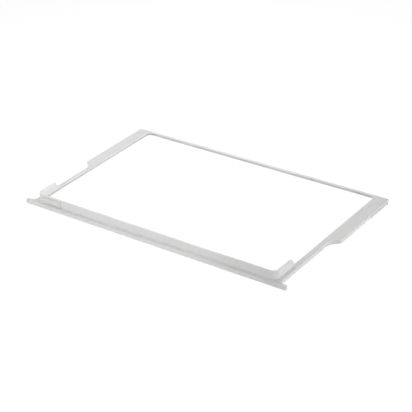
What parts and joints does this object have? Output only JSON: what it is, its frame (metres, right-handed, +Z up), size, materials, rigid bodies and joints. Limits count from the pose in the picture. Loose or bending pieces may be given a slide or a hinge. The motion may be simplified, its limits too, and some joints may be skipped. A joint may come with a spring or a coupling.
{
  "type": "refrigerator glass shelf",
  "caption": "Clear glass shelf plate in a white moulded frame with rear side wings, a rounded nose bar and a low front upstand with short side returns.",
  "frame": {"origin": "middle of the footprint, on the surface the shelf lies on", "axes": "+X across the shelf to the right side as seen from the front, +Y from the nose bar to the rear edge, +Z up"},
  "size_m": [0.5102, 0.3106, 0.0215],
  "materials": {
    "frame_plastic": "satin white moulding",
    "clear_glass": "clear toughened",
    "insert_plastic": "satin white moulding"
  },
  "bodies": {
    "root": {"frame": "frame_plastic", "glass_plate": "clear_glass", "insert_plate": "insert_plastic"}
  },
  "joints": []
}
